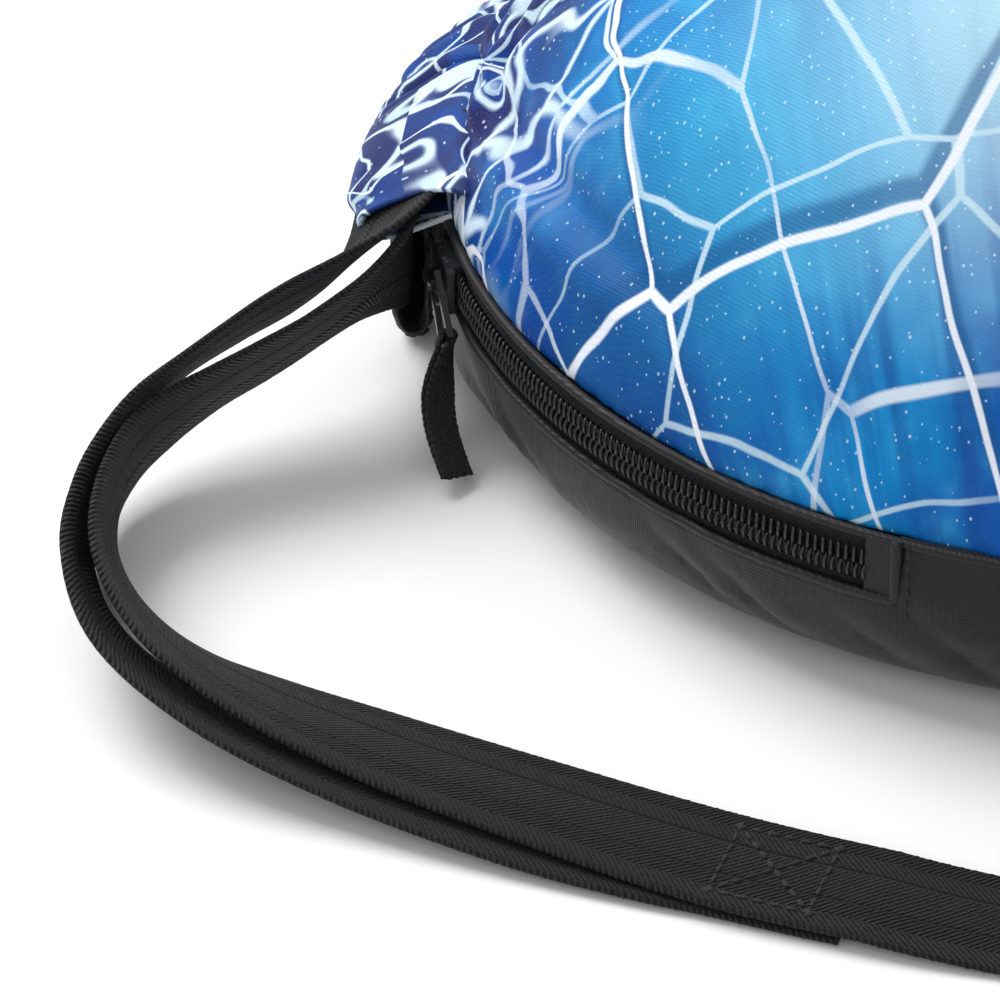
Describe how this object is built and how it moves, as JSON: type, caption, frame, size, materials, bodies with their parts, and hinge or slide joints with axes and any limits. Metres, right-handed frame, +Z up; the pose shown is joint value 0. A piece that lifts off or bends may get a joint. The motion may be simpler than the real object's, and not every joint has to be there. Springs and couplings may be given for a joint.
{
  "type": "bowling ball bag",
  "caption": "Soft round drawstring carry bag for a bowling ball, printed domed front, black back shell, zip side pocket and flat webbing carry strap.",
  "frame": {"origin": "on the floor under the bag, at the centre of the circle that the lower seam follows", "axes": "+Z up from the floor, +Y towards the drawstring mouth, +X to the bag's right"},
  "size_m": [0.4109, 0.298, 0.1399],
  "materials": {
    "black_taffeta": "matt woven polyester, soft creases",
    "printed_cloth": "smooth sublimation-printed polyester",
    "foam": "open foam sheet",
    "lining_cloth": "thin plain lining",
    "webbing": "herringbone polyester webbing, 25 mm",
    "thread": "bonded polyester thread",
    "zip_tape": "herringbone zip tape",
    "zip_coil": "nylon coil",
    "black_metal": "black lacquered zinc, worn bright at the edges"
  },
  "bodies": {
    "bag": {"back_casing": "black_taffeta", "back_casing_hems": "black_taffeta", "back_casing_webbing": "webbing", "back_shell": "black_taffeta", "base_lining": "lining_cloth", "base_padding": "foam", "front_casing": "printed_cloth", "front_casing_hems": "printed_cloth", "front_casing_webbing": "webbing", "front_lining": "lining_cloth", "front_padding": "foam", "front_panel": "printed_cloth", "pocket_bag": "lining_cloth", "zip_coil_lower": "zip_coil", "zip_coil_upper": "zip_coil", "zip_end_tab": "black_taffeta", "zip_tape_lower": "zip_tape", "zip_tape_upper": "zip_tape", "zip_top_stops": "black_metal"},
    "strap": {"carry_strap": "webbing", "strap_leg_left": "webbing", "strap_leg_right": "webbing", "box_stitches": "thread"},
    "zip_slider": {"slider": "black_metal"},
    "tab": {"pull_tab": "black_metal"},
    "pull": {"webbing_pull": "webbing"}
  },
  "joints": [
    {"name": "strap_swing", "type": "hinge", "parent": "bag", "child": "strap", "pos_m": [0, -0.024, 0.022], "axis": [-1, 0, 0], "range_deg": [0, 90]},
    {"name": "zip_travel", "type": "hinge", "parent": "bag", "child": "zip_slider", "pos_m": [0, 0, 0.031], "axis": [0, 0, 1], "range_deg": [0, 46]},
    {"name": "tab_flip", "type": "hinge", "parent": "zip_slider", "child": "tab", "pos_m": [-0.13875, -0.03357, 0.031], "axis": [-0.1511, 0.6248, -0.766], "range_deg": [0, 45]},
    {"name": "pull_flip", "type": "hinge", "parent": "tab", "child": "pull", "pos_m": [-0.13651, -0.0428, 0.02303], "axis": [-0.1511, 0.6248, -0.766], "range_deg": [0, 30]}
  ]
}
